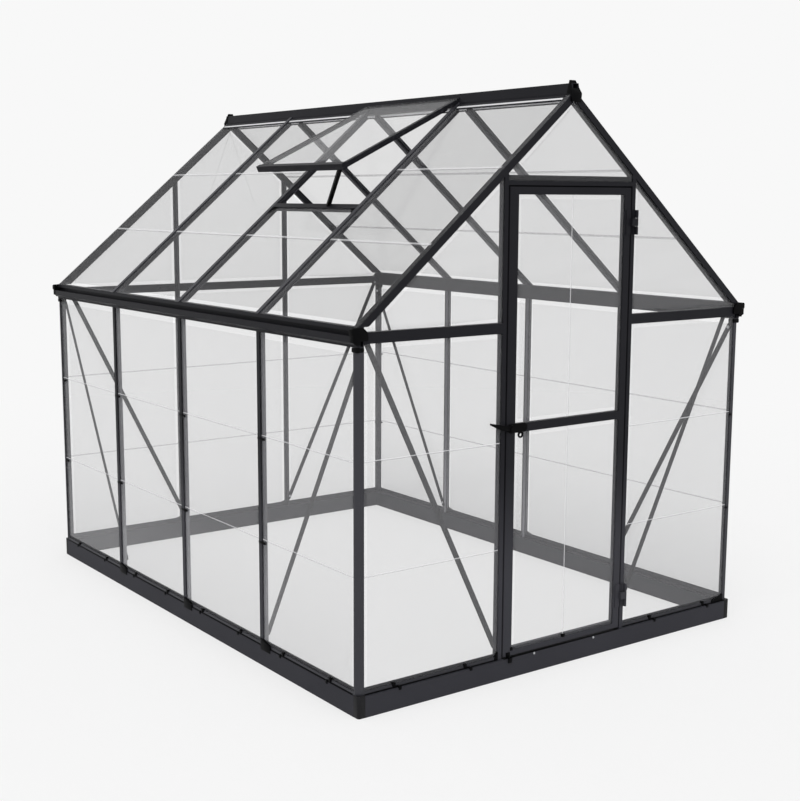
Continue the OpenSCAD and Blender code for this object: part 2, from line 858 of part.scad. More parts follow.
// Bar across the roof under the vent, with the lower sheet in its slot
module vent_sill() {
    color("#1c1c1f") mirror([1, 0, 0]) slope()
        translate([0, stud_w / 2 - stud_pitch, vent_sill_s]) difference() {
            cube([vent_sill_d, stud_pitch - stud_w, vent_sill_w]);
            translate([flange_t, -cut, vent_sill_w - slot_bite]) cube([slot_w, stud_pitch, vent_sill_w]);
        }
}

// Prop between the lower bar of the vent and the vent sill
module vent_stay() {
    s = vent_sill_s + vent_sill_w / 3;
    foot = [-s * cos(pitch), vent_y - stay_foot, apex_z - s * sin(pitch)];
    v = vent_len - vent_bar / 2;
    head = [-vent_x0 - v * cos(vent_angle), vent_y - stay_head, vent_z0 - v * sin(vent_angle) - vent_d];
    dir = head - foot;
    color("#121214") difference() {
        translate(foot) rotate([0, acos(dir[2] / norm(dir)), atan2(dir[1], dir[0])])
            translate([-stay_w / 2, -stay_w / 2, -stay_w]) cube([stay_w, stay_w, norm(dir) + 2 * stay_w]);
        vent_frame() translate([vent_d + vent_nose - big, -big / 2, -big / 2]) cube(big);
        mirror([1, 0, 0]) slope() translate([0, -big / 2, -big / 2]) cube(big);
    }
}

// Positions of the two hinges
module hinges() {
    translate([hinge_x, hinge_y, hinge_top_z]) children();
    translate([hinge_x, hinge_y, hinge_low_z]) children();
}

module jamb_hinges() {
    knuckle_h = hinge_len / 3 - 2 * play;
    color("#1a1a1c") hinges() {
        translate([0, 0, -hinge_len / 2]) cylinder(h = hinge_len, r = hinge_pin_r);
        for (z = [-hinge_len / 2, hinge_len / 2 - knuckle_h]) translate([0, 0, z]) {
            cylinder(h = knuckle_h, r = hinge_r);
            translate([-hinge_r, 0, 0]) cube([hinge_r, -wy - hinge_y, knuckle_h]);
        }
        translate([-leaf_w, -wy - hinge_y - wall_t, -hinge_len / 2]) cube([leaf_w, wall_t, hinge_len]);
    }
}

module door_hinges() {
    knuckle_h = hinge_len / 3 - 4 * play;
    edge_x = door_w / 2 - hinge_x;
    face_y = -wy - hinge_y;
    color("#1a1a1c") hinges() difference() {
        union() {
            translate([0, 0, -knuckle_h / 2]) {
                cylinder(h = knuckle_h, r = hinge_r);
                translate([edge_x - wall_t, -hinge_r, 0]) cube([wall_t - edge_x, wall_t, knuckle_h]);
                translate([edge_x - wall_t, -hinge_r, 0]) cube([wall_t, face_y + hinge_r, knuckle_h]);
            }
            translate([edge_x - strap_w, face_y - wall_t, -hinge_len / 2]) cube([strap_w, wall_t, hinge_len]);
        }
        translate([0, 0, -hinge_len]) cylinder(h = 2 * hinge_len, r = hinge_pin_r + play);
    }
}

// Stile section of the width w, x inward from the outer edge, y depth from the door face
module stile_section(w) {
    difference() {
        square([w, door_d]);
        translate([w - slot_bite, flange_t]) square([w, slot_w]);
        translate([wall_t, back_d + wall_t]) square([w - 2 * wall_t, door_d - back_d - 2 * wall_t]);
    }
}

module door_stiles() {
    color("#26262a") difference() {
        union() {
            translate([-door_w / 2, -wy, door_z0]) linear_extrude(door_h) stile_section(lock_stile_w);
            translate([door_w / 2, -wy, door_z0]) mirror([1, 0, 0])
                linear_extrude(door_h) stile_section(hinge_stile_w);
        }
        translate([handle_x, 0, handle_z]) rotate([90, 0, 0])
            cylinder(h = big, r = spindle_r + play);
    }
}

// Door rail between the stiles
module door_rail(z, h, up, down, step) {
    translate([leaf_x0, -wy, z]) rotate([90, 0, 90])
        linear_extrude(leaf_x1 - leaf_x0) rail_section(door_d, h, up, down, step);
}

module door_rails() {
    color("#26262a") {
        door_rail(door_z0, bottom_rail_h, true, false, bottom_step);
        door_rail(mid_rail_z, mid_rail_h, true, true, 0);
        door_rail(door_z1 - top_rail_h, top_rail_h, false, true, 0);
    }
}

module door_panes() {
    x0 = leaf_x0 - bite;
    w = leaf_x1 + bite - x0;
    low0 = door_z0 + bottom_rail_h - bottom_step - bite;
    low1 = mid_rail_z + bite;
    high0 = mid_rail_z + mid_rail_h - bite;
    high1 = door_z1 - top_rail_h + bite;
    color("#dfe6ea", 0.4) {
        translate([x0, -wy + pane_d, low0]) cube([w, pane_t, low1 - low0]);
        translate([x0, -wy + pane_d, high0]) cube([w, pane_t, high1 - high0]);
    }
}

// Long plate across the stile and the middle rail with a padlock eye below it
module handle_rose() {
    rose_r = handle_r + rose_rim;
    color("#121214") translate([handle_x, -wy, handle_z]) rotate([90, 0, 0]) difference() {
        union() {
            cylinder(h = rose_t, r = rose_r);
            translate([0, -rose_r, 0]) cube([rose_l, 2 * rose_r, rose_t]);
            translate([rose_l, 0, 0]) cylinder(h = rose_t, r = rose_r);
            translate([eye_x, -handle_r - eye_drop, 0]) cylinder(h = rose_t, r = eye_r);
        }
        translate([eye_x, -handle_r - eye_drop - cut, -cut]) cylinder(h = rose_t + 2 * cut, r = eye_hole_r);
        translate([0, 0, -cut]) cylinder(h = rose_t + 2 * cut, r = spindle_r + play);
    }
}

// Lever, hub, spindle and inside knob, turning together
module door_handle() {
    hub_z = rose_t + hub_gap;
    knob_z = -door_d - hub_gap - hub_l;
    color("#121214") translate([handle_x, -wy, handle_z]) rotate([90, 0, 0]) {
        translate([0, 0, knob_z]) cylinder(h = hub_z - knob_z, r = spindle_r);
        translate([0, 0, hub_z]) cylinder(h = hub_l, r = handle_r);
        translate([0, 0, knob_z]) cylinder(h = hub_l, r = handle_r);
        translate([0, 0, hub_z + cut]) linear_extrude(lever_t)
            polygon([[0, -lever_h / 2], [0, lever_h / 2], [-handle_reach, lever_rise + lever_tip / 2],
                     [-handle_reach, lever_rise - lever_tip / 2], [-handle_reach / 2, 0]]);
    }
}

base_front();
base_rear();
base_left();
base_right();
base_corners();
left_sills();
right_sills();
rear_sills();
front_sills();
corner_posts();
left_studs();
right_studs();
rear_studs();
door_jambs();
door_header();
left_gutter();
right_gutter();
gutter_end_caps();
front_eave_rails();
rear_eave_rails();
front_gable_rafters();
rear_gable_rafters();
left_rafters();
right_rafters();
ridge_beam();
ridge_end_caps();
side_braces();
gable_braces();
left_panes();
right_panes();
front_panes();
rear_panes();
left_roof_panes();
right_roof_panes();
vent_hinge_bar();
vent_side_bars();
vent_lower_bar();
vent_pane();
vent_sill();
vent_stay();
jamb_hinges();
door_stiles();
door_rails();
door_panes();
door_hinges();
handle_rose();
door_handle();
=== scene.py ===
"""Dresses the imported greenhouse: studio, finishes, clear sheets, clips, bolts, vent and door fittings."""
import logging
import math
from collections.abc import Callable, Iterable, Sequence
from dataclasses import dataclass, replace
from enum import Enum

import bmesh
import bpy
from mathutils import Matrix, Vector


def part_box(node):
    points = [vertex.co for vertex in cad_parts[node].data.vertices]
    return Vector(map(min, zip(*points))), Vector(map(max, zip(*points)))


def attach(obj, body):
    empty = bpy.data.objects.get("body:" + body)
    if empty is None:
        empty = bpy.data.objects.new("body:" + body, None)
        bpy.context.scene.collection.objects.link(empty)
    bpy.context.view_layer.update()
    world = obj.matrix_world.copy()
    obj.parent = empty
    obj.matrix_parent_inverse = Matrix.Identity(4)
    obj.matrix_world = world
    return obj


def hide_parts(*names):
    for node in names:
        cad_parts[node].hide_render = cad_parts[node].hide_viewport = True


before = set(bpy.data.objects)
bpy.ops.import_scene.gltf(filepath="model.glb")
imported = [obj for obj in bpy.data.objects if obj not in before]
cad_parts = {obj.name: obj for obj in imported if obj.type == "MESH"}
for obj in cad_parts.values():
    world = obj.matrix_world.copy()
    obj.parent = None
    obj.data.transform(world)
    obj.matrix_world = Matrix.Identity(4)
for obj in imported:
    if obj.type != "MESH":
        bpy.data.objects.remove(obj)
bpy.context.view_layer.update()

LOG = logging.getLogger("greenhouse")
MM = 0.001
UP = Vector((0.0, 0.0, 1.0))
WELD = 0.01 * MM
FLAT_ANGLE = math.radians(1)
SMOOTH_ANGLE = math.radians(35)


def linear(hex_colour: str) -> tuple[float, float, float, float]:
    """Turn an sRGB hex colour into linear red, green, blue and full opacity.

    Args:
        hex_colour: Six hex digits with a leading hash sign.

    Returns:
        The four linear values.
    """
    parts = [int(hex_colour[i:i + 2], 16) / 255 for i in (1, 3, 5)]
    red, green, blue = [p / 12.92 if p <= 0.04045 else ((p + 0.055) / 1.055) ** 2.4 for p in parts]
    return (red, green, blue, 1.0)


def add_node(tree: bpy.types.NodeTree, kind: str, inputs: dict[int | str, object] | None = None,
             **settings: object) -> bpy.types.Node:
    """Add a node with its settings, its socket values and its links.

    Args:
        tree: The node tree that gets the node.
        kind: The node's type name.
        inputs: Socket name or number to a value, or to the socket that feeds it.
        **settings: Properties set on the node itself.

    Returns:
        The new node.
    """
    node = tree.nodes.new(kind)
    for name, value in settings.items():
        setattr(node, name, value)
    for socket, value in (inputs or {}).items():
        if isinstance(value, bpy.types.NodeSocket):
            tree.links.new(value, node.inputs[socket])
        else:
            node.inputs[socket].default_value = value
    return node


def per_metre(size_mm: float) -> float:
    """Texture scale that draws a pattern of this size in millimetres."""
    return 1.0 / (size_mm * MM)


@dataclass(frozen=True)
class Finish:
    """A painted, moulded or clear surface with mottling, grain and an uneven gloss.

    The two colours are mixed by a slow mottle, and the grain is a fine relief. A coat may turn paler, or the
    veil of a clear sheet denser, towards its foot, between the two heights of foot_fade in metres.
    """

    name: str
    dark: str
    light: str
    roughness: float
    specular: float = 0.5
    metallic: float = 0.0
    ior: float = 1.5
    alpha: float = 1.0
    mottle_mm: float = 180.0
    grain_mm: float = 2.0
    grain_depth_mm: float = 0.05
    gloss_spread: float = 0.06
    foot_alpha: float | None = None
    foot_tint: str | None = None
    foot_fade: tuple[float, float] = (0.08, 0.6)

    def material(self) -> bpy.types.Material:
        """Make the material on first use.

        Returns:
            The material of this finish.
        """
        found = bpy.data.materials.get(self.name)
        if found:
            return found
        made = bpy.data.materials.new(self.name)
        made.use_nodes = True
        tree = made.node_tree
        tree.nodes.clear()
        place = add_node(tree, "ShaderNodeTexCoord").outputs["Object"]
        mottle = add_node(tree, "ShaderNodeTexNoise",
                          {"Vector": place, "Scale": per_metre(self.mottle_mm), "Detail": 3.0,
                           "Roughness": 0.55})
        colour = add_node(tree, "ShaderNodeMix",
                          {0: mottle.outputs["Fac"], 6: linear(self.dark), 7: linear(self.light)},
                          data_type="RGBA")
        height = add_node(tree, "ShaderNodeSeparateXYZ", {0: place}).outputs["Z"]
        fade = {"Value": height, "From Min": self.foot_fade[0], "From Max": self.foot_fade[1]}
        if self.foot_tint is not None:
            rise = add_node(tree, "ShaderNodeMapRange", fade, interpolation_type="SMOOTHSTEP")
            colour = add_node(tree, "ShaderNodeMix",
                              {0: rise.outputs[0], 6: linear(self.foot_tint), 7: colour.outputs[2]},
                              data_type="RGBA")
        grain = add_node(tree, "ShaderNodeTexNoise",
                         {"Vector": place, "Scale": per_metre(self.grain_mm), "Detail": 2.0})
        gloss = add_node(tree, "ShaderNodeMapRange",
                         {"Value": grain.outputs["Fac"], "To Min": self.roughness - self.gloss_spread,
                          "To Max": self.roughness + self.gloss_spread})
        relief = add_node(tree, "ShaderNodeBump",
                          {"Height": grain.outputs["Fac"], "Strength": 0.25,
                           "Distance": self.grain_depth_mm * MM})
        shader = add_node(tree, "ShaderNodeBsdfPrincipled",
                          {"Base Color": colour.outputs[2], "Roughness": gloss.outputs[0],
                           "Normal": relief.outputs[0], "Metallic": self.metallic, "IOR": self.ior,
                           "Specular IOR Level": self.specular, "Alpha": self.alpha})
        if self.foot_alpha is not None:
            veil = add_node(tree, "ShaderNodeMapRange",
                            fade | {"To Min": self.foot_alpha, "To Max": self.alpha},
                            interpolation_type="SMOOTHSTEP")
            tree.links.new(veil.outputs[0], shader.inputs["Alpha"])
        add_node(tree, "ShaderNodeOutputMaterial", {"Surface": shader.outputs[0]})
        if self.alpha < 1.0:
            made.surface_render_method = "BLENDED"
        return made


# Powder-coated aluminium extrusion: charcoal, satin-matt, a fine orange peel that breaks up the highlights.
# The peel is drawn 2 mm wide, coarser than the real 0.5 mm, so that it shows. The dark coat turns paler
# towards its foot.
DARK_COAT = Finish("powder_coated_aluminium_extrusion_dark", "#18181c", "#1f1f23", 0.46, specular=0.08,
                   foot_tint="#37373c", foot_fade=(0.35, 0.8))
POST_COAT = Finish("powder_coated_aluminium_extrusion_charcoal", "#2c2c31", "#343439", 0.46, specular=0.25)
# Webs of the long-wall studs behind the glazing: a paler copy of the charcoal coat, paler still at the foot,
# as painted light.
STUD_WEB_PAINTED_LIGHT = Finish("stud_web_painted_light", "#5c5c61", "#66666b", 0.6, specular=0.1, foot_tint="#97979c")
# Coated folded steel: the same charcoal a shade lighter, rolled flat, so its gloss is more even.
BASE_COAT = Finish("coil_coated_folded_steel", "#2f2f34", "#36363b", 0.6, specular=0.08, mottle_mm=320.0)
# Coated steel flat bar: cut from strip, duller than the extrusions.
BRACE_COAT = Finish("coated_steel_flat_bar", "#141417", "#1b1b1f", 0.6, specular=0.06)
# Moulded glass-filled nylon: black and matt with a spark-eroded mould grain.
BLACK_NYLON = Finish("moulded_black_nylon", "#060607", "#0a0a0b", 0.5, specular=0.04, grain_mm=1.2)
# Moulded black nylon on the base corners, painted a greyer charcoal: painted light on their rounded faces.
CORNER_PAINTED_LIGHT = Finish("base_corner_painted_light", "#131315", "#19191b", 0.5, specular=0.15, grain_mm=1.2)
# Painted highlight: a matt off-white strip that stands for the bright line where the sheets meet the ridge.
RIDGE_PAINTED_HIGHLIGHT = Finish("ridge_painted_highlight", "#d2d2d4", "#dedee0", 0.55, specular=0.3, mottle_mm=60.0,
                    grain_mm=3.0)
# Zinc-plated steel: bright grey metal with a soft broken shine.
ZINC = Finish("zinc_plated_steel", "#a9abae", "#c3c5c8", 0.34, metallic=1.0, mottle_mm=8.0, grain_mm=0.8,
              grain_depth_mm=0.01)
# Extruded clear polycarbonate sheet: a faint grey veil in front of what lies behind it.
WALL_SHEET = Finish("extruded_clear_polycarbonate_gable", "#b8b8ba", "#c2c2c4", 0.12, ior=1.58, alpha=0.11,
                    mottle_mm=420.0, grain_mm=60.0, grain_depth_mm=0.3, gloss_spread=0.04)
# The long walls' copy of the sheet has a denser veil, denser still towards their foot: painted reflection.
SIDE_SHEET = replace(WALL_SHEET, name="extruded_clear_polycarbonate_side", alpha=0.14, foot_alpha=0.22)
# The roof's copy of the sheet has a deeper grey, denser veil: painted shade on the slopes.
ROOF_SHEET = replace(WALL_SHEET, name="extruded_clear_polycarbonate_roof", dark="#5a5a5c", light="#666668",
                     alpha=0.14)
# The open vent's copy of the sheet has a paler veil than the roof's: painted light on the raised vent.
VENT_SHEET = replace(WALL_SHEET, name="extruded_clear_polycarbonate_vent", dark="#b6b6b8", light="#c0c0c2",
                     alpha=0.135)
# A clearer, paler margin round each sheet's field: a painted highlight, so a bright line runs beside every
# bar.
MARGIN_PAINTED_HIGHLIGHT = Finish("sheet_margin_painted_highlight", "#e6e6e8", "#f0f0f2", 0.1, ior=1.58, alpha=0.05,
                      mottle_mm=200.0, grain_mm=40.0, gloss_spread=0.03)
# Embossed stiffening line: the upper flank of the pressed fold carries a painted highlight, the lower one a
# painted shade.
EMBOSSED_LIGHT = Finish("embossed_polycarbonate_lit_flank", "#f2f2f4", "#fafafc", 0.3, ior=1.58, alpha=0.42,
                        mottle_mm=90.0, grain_mm=12.0)
EMBOSSED_SHADE = replace(EMBOSSED_LIGHT, name="embossed_polycarbonate_shaded_flank", dark="#707074",
                         light="#7c7c80", alpha=0.16)


class Tone(Enum):
    """The frame finishes by the pieces that wear them."""

    DARK = DARK_COAT
    POST = POST_COAT
    BASE = BASE_COAT
    BRACE = BRACE_COAT
    NYLON = BLACK_NYLON
    CORNER = CORNER_PAINTED_LIGHT


NODE_TONES = {
    Tone.BASE: ("base_front", "base_rear", "base_left", "base_right"),
    Tone.POST: ("corner_posts", "rear_studs", "left_rafters", "right_rafters", "left_sills", "right_sills",
                "rear_sills", "front_sills"),
    Tone.DARK: ("left_studs", "right_studs", "door_jambs", "door_header", "left_gutter", "right_gutter",
                "front_eave_rails", "rear_eave_rails", "front_gable_rafters", "rear_gable_rafters",
                "ridge_beam", "vent_hinge_bar", "vent_side_bars", "vent_lower_bar", "vent_sill",
                "door_stiles", "door_rails", "door_hinges", "jamb_hinges"),
    Tone.BRACE: ("side_braces", "gable_braces"),
    Tone.NYLON: ("gutter_end_caps", "ridge_end_caps", "vent_stay", "handle_rose", "door_handle"),
    Tone.CORNER: ("base_corners",),
}


def box_of(node: str) -> tuple[Vector, Vector]:
    """Lowest and highest corner of a frame node as vectors."""
    low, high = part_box(node)
    return Vector(low), Vector(high)


def make_piece(name: str, mesh_data: bmesh.types.BMesh, body: str,
               finishes: Sequence[Finish], stands_for: Iterable[str] = ()) -> bpy.types.Object:
    """Turn a finished bmesh into a piece of the object.

    Args:
        name: The piece's name.
        mesh_data: The mesh, which is freed here.
        body: The body that carries the piece.
        finishes: The piece's finishes, in the order of its material numbers.
        stands_for: Frame nodes that the piece replaces.

    Returns:
        The new object.
    """
    mesh = bpy.data.meshes.new(name)
    mesh_data.to_mesh(mesh)
    mesh_data.free()
    for finish in finishes:
        mesh.materials.append(finish.material())
    mesh.polygons.foreach_set("use_smooth", [True] * len(mesh.polygons))
    mesh.set_sharp_from_angle(angle=SMOOTH_ANGLE)
    piece = bpy.data.objects.new(name, mesh)
    bpy.context.scene.collection.objects.link(piece)
    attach(piece, body)
    nodes = tuple(stands_for)
    if nodes:
        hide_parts(*nodes)
    LOG.info("piece %s: %d faces on %s", name, len(mesh.polygons), body)
    return piece


def node_copy(node: str, flat: bool = True) -> bmesh.types.BMesh:
    """Copy a frame node's mesh with its points welded.

    Args:
        node: The node's name.
        flat: Whether triangles that lie in one plane are joined.

    Returns:
        The new mesh.
    """
    mesh = bmesh.new()
    mesh.from_mesh(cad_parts[node].data)
    bmesh.ops.remove_doubles(mesh, verts=mesh.verts, dist=WELD)
    if flat:
        bmesh.ops.dissolve_limit(mesh, angle_limit=FLAT_ANGLE, verts=mesh.verts, edges=mesh.edges)
    return mesh


def edges_of(verts: Iterable[bmesh.types.BMVert]) -> list[bmesh.types.BMEdge]:
    """Edges that meet at some points, each once and in a fixed order."""
    return list(dict.fromkeys(edge for vert in verts for edge in vert.link_edges))


def round_edges(mesh: bmesh.types.BMesh, edges: Sequence[bmesh.types.BMEdge], radius: float,
                clamp: bool = False) -> None:
    """Round some edges.

    Args:
        mesh: The mesh that has them.
        edges: The edges.
        radius: Width of the rounding in metres.
        clamp: Whether roundings that would meet are made narrower.
    """
    bmesh.ops.bevel(mesh, geom=edges, offset=radius, segments=2, affect="EDGES", profile=0.5,
                    clamp_overlap=clamp)


def add_block(mesh: bmesh.types.BMesh, low: Sequence[float], high: Sequence[float], chamfer: float) -> None:
    """Add a box with rounded edges.

    Args:
        mesh: The mesh that gets the box.
        low: Lowest corner in metres.
        high: Highest corner in metres.
        chamfer: Rounding of its edges in metres.
    """
    size = Vector(high) - Vector(low)
    centre = (Vector(high) + Vector(low)) / 2
    place = Matrix.Translation(centre) @ Matrix.Diagonal((*size, 1.0))
    made = bmesh.ops.create_cube(mesh, size=1.0, matrix=place)
    round_edges(mesh, edges_of(made["verts"]), chamfer)


def add_pin(mesh: bmesh.types.BMesh, foot: Vector, axis: Vector, radius: float, length: float,
            chamfer: float, sides: int = 24) -> None:
    """Add a round or many-sided pin with a rounded far rim.

    Args:
        mesh: The mesh that gets the pin.
        foot: Centre of the end that seats.
        axis: Direction from the foot to the free end.
        radius: Radius in metres.
        length: Length in metres.
        chamfer: Rounding of the free rim in metres.
        sides: Number of sides.
    """
    turn = UP.rotation_difference(axis).to_matrix().to_4x4()
    place = Matrix.Translation(foot) @ turn @ Matrix.Translation((0, 0, length / 2))
    made = bmesh.ops.create_cone(mesh, cap_ends=True, segments=sides, radius1=radius, radius2=radius,
                                 depth=length, matrix=place)
    along = axis.normalized()
    tip = foot + along * length
    rim = [edge for edge in edges_of(made["verts"])
           if all(abs((vert.co - tip).dot(along)) < WELD for vert in edge.verts)]
    round_edges(mesh, rim, chamfer)


def add_plate(mesh: bmesh.types.BMesh, outline: Sequence[tuple[float, float]], outer: float, inner: float,
              chamfer: float) -> None:
    """Add a plate with rounded edges, drawn on a wall that faces -Y.

    Args:
        mesh: The mesh that gets the plate.
        outline: Its corners as x and z, anticlockwise seen from outside.
        outer: The y of its outer face.
        inner: The y of its inner face.
        chamfer: Rounding of its edges in metres.
    """
    rings = [[mesh.verts.new((x, y, z)) for x, z in outline] for y in (outer, inner)]
    mesh.faces.new(rings[0])
    mesh.faces.new(rings[1][::-1])
    for i in range(len(outline)):
        j = (i + 1) % len(outline)
        mesh.faces.new((rings[0][j], rings[0][i], rings[1][i], rings[1][j]))
    round_edges(mesh, edges_of(rings[0] + rings[1]), chamfer)


@dataclass(frozen=True)
class WallSide:
    """One wall as its fittings see it.

    Faces are distances from the middle of the building, places are measured along the wall, and hand says on
    which side of a fitting, seen from outside, the wall runs on towards positive places.
    """

    name: str
    outward: Vector
    face: float
    sill: float
    base: float
    half: float
    uprights: tuple[float, ...]
    bays: tuple[float, ...]
    hand: int


@dataclass
class Building:
    """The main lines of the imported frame, read from its nodes."""

    wall_x: float = 0.0
    wall_y: float = 0.0
    base_z: float = 0.0
    eave_z: float = 0.0
    roof_z0: float = 0.0
    roof_z1: float = 0.0
    low_line: float = 0.348
    high_line: float = 0.678
    stud_w: float = 20 * MM
    bar_depth: float = 28 * MM

    def measure(self) -> "Building":
        """Read the lines from the frame's nodes.

        Returns:
            The same object, filled in.
        """
        low, high = box_of("corner_posts")
        self.wall_x, self.wall_y = high.x, high.y
        self.base_z, self.eave_z = low.z, high.z
        low, high = box_of("right_roof_panes")
        self.roof_z0, self.roof_z1 = low.z, high.z
        return self

    def walls(self) -> list[WallSide]:
        """Describe the four walls.

        Returns:
            The left, right, front and rear wall.
        """
        stud_y = (box_of("left_studs")[1].y - box_of("left_studs")[0].y - self.stud_w) / 2
        jamb = box_of("door_jambs")[1].x
        stud_x = box_of("rear_studs")[1].x - self.stud_w / 2
        front = (jamb + self.wall_x) / 2
        rear = (stud_x + self.wall_x) / 2
        sides = ((-stud_y, 0.0, stud_y), tuple((i - 1.5) * stud_y for i in range(4)))
        found = []
        for name, outward, studs, base, (uprights, bays), hand in (
                ("left", (-1, 0, 0), "left_studs", "base_left", sides, -1),
                ("right", (1, 0, 0), "right_studs", "base_right", sides, 1),
                ("front", (0, -1, 0), "door_jambs", "base_front", ((), (-front, front)), 1),
                ("rear", (0, 1, 0), "rear_studs", "base_rear", ((-stud_x, stud_x), (-rear, 0.0, rear)), -1)):
            away = Vector(outward)
            reach = [[corner.dot(away) for corner in box_of(node)] for node in (studs, f"{name}_sills", base)]
            half = self.wall_y if outward[0] else self.wall_x
            found.append(WallSide(name, away, *(max(r) for r in reach), half, uprights, bays, hand))
        return found

    def wall_lines(self) -> tuple[float, float]:
        """Heights of the two embossed lines of a wall."""
        rise = self.eave_z - self.base_z
        return self.base_z + self.low_line * rise, self.base_z + self.high_line * rise

    def roof_lines(self) -> tuple[float, float]:
        """Heights of the two embossed lines of a roof slope."""
        rise = (self.roof_z1 - self.roof_z0) / 3
        return self.roof_z0 + rise, self.roof_z0 + 2 * rise


@dataclass
class Studio:
    """Camera at the photograph's viewpoint, a pale floor, a bright dome and one broad soft lamp."""

    eye: tuple[float, float, float] = (-3.1919, -4.5822, 1.6845)
    azimuth: float = -36.141
    elevation: float = 8.846
    roll: float = 0.229
    focal_px: float = 1307.0
    frame_px: float = 801.0
    sensor_mm: float = 36.0
    backdrop: str = "#f8f8f8"
    floor_colour: str = "#f2f2f2"
    dome_strength: float = 0.62
    lamp_strength: float = 1.7
    lamp_from: tuple[float, float, float] = (-0.39, -0.49, 0.78)
    lamp_spread: float = 70.0
    floor_half: float = 60.0
    fade_from: float = 3.2
    fade_to: float = 6.0
    near_share: float = 0.62
    floor_drop: float = 0.2 * MM
    sheet_bounces: int = 32

    def build(self) -> None:
        """Make the camera, the world, the lamp and the floor."""
        scene = bpy.context.scene
        scene.view_settings.view_transform = "Standard"
        scene.cycles.transparent_max_bounces = self.sheet_bounces
        self.camera(scene)
        self.world(scene)
        self.lamp(scene)
        self.floor(scene)
        LOG.info("studio ready")

    def camera(self, scene: bpy.types.Scene) -> None:
        """Place the camera from its solved angles.

        Args:
            scene: The scene that gets it.
        """
        a, e, r = (math.radians(v) for v in (self.azimuth, self.elevation, self.roll))
        back = Vector((math.sin(a) * math.cos(e), -math.cos(a) * math.cos(e), math.sin(e)))
        right = UP.cross(back).normalized()
        top = back.cross(right)
        rolled_right = math.cos(r) * right + math.sin(r) * top
        rolled_top = math.cos(r) * top - math.sin(r) * right
        data = bpy.data.cameras.new("camera")
        data.sensor_width = self.sensor_mm
        data.lens = self.focal_px / self.frame_px * self.sensor_mm
        data.clip_end = 4 * self.floor_half
        camera = bpy.data.objects.new("camera", data)
        axes = Matrix((rolled_right, rolled_top, back)).transposed().to_4x4()
        camera.matrix_world = Matrix.Translation(self.eye) @ axes
        scene.collection.objects.link(camera)
        scene.camera = camera

    def seen_directly(self, tree: bpy.types.NodeTree) -> bpy.types.NodeSocket:
        """Give 1 for what the eye sees straight, mirrored or through a clear piece.

        Args:
            tree: The node tree that asks.

        Returns:
            The socket with the answer.
        """
        path = add_node(tree, "ShaderNodeLightPath")
        first = add_node(tree, "ShaderNodeMath",
                         {0: path.outputs["Is Camera Ray"], 1: path.outputs["Is Glossy Ray"]},
                         operation="MAXIMUM")
        both = add_node(tree, "ShaderNodeMath", {0: first.outputs[0], 1: path.outputs["Is Transmission Ray"]},
                        operation="MAXIMUM")
        return both.outputs[0]

    def world(self, scene: bpy.types.Scene) -> None:
        """Make the dome: a plain light level, and the pale backdrop where it is seen.

        Args:
            scene: The scene that gets it.
        """
        world = bpy.data.worlds.new("dome")
        world.use_nodes = True
        tree = world.node_tree
        tree.nodes.clear()
        light = add_node(tree, "ShaderNodeBackground",
                         {"Color": linear("#ffffff"), "Strength": self.dome_strength})
        shown = add_node(tree, "ShaderNodeBackground", {"Color": linear(self.backdrop), "Strength": 1.0})
        mix = add_node(tree, "ShaderNodeMixShader",
                       {0: self.seen_directly(tree), 1: light.outputs[0], 2: shown.outputs[0]})
        add_node(tree, "ShaderNodeOutputWorld", {"Surface": mix.outputs[0]})
        scene.world = world

    def lamp(self, scene: bpy.types.Scene) -> None:
        """Hang the broad soft lamp.

        Args:
            scene: The scene that gets it.
        """
        data = bpy.data.lights.new("broad_lamp", "SUN")
        data.energy = self.lamp_strength
        data.angle = math.radians(self.lamp_spread)
        lamp = bpy.data.objects.new("broad_lamp", data)
        lamp.rotation_euler = UP.rotation_difference(Vector(self.lamp_from)).to_euler()
        scene.collection.objects.link(lamp)

    def floor(self, scene: bpy.types.Scene) -> None:
        """Lay the floor, which holds a soft shadow near the object and fades to the backdrop far from it.

        Args:
            scene: The scene that gets it.
        """
        mesh = bpy.data.meshes.new("studio_floor")
        half, z = self.floor_half, -self.floor_drop
        corners = [(-half, -half, z), (half, -half, z), (half, half, z), (-half, half, z)]
        mesh.from_pydata(corners, [], [(0, 1, 2, 3)])
        floor = bpy.data.objects.new("studio_floor", mesh)
        scene.collection.objects.link(floor)
        made = bpy.data.materials.new("matt_studio_paper")
        made.use_nodes = True
        tree = made.node_tree
        tree.nodes.clear()
        place = add_node(tree, "ShaderNodeTexCoord").outputs["Object"]
        away = add_node(tree, "ShaderNodeVectorMath", {0: place}, operation="LENGTH")
        fade = add_node(tree, "ShaderNodeMapRange",
                        {"Value": away.outputs["Value"], "From Min": self.fade_from, "From Max": self.fade_to,
                         "To Min": self.near_share})
        share = add_node(tree, "ShaderNodeMath", {0: fade.outputs[0], 1: self.seen_directly(tree)},
                         operation="MULTIPLY")
        paper = add_node(tree, "ShaderNodeBsdfDiffuse", {"Color": linear(self.floor_colour)})
        plain = add_node(tree, "ShaderNodeEmission", {"Color": linear(self.backdrop), "Strength": 1.0})
        mix = add_node(tree, "ShaderNodeMixShader",
                       {0: share.outputs[0], 1: paper.outputs[0], 2: plain.outputs[0]})
        add_node(tree, "ShaderNodeOutputMaterial", {"Surface": mix.outputs[0]})
        mesh.materials.append(made)


class Lines(Enum):
    """Where a sheet has its embossed lines."""

    NONE = 0
    LEVEL = 1
    MIDDLE = 2


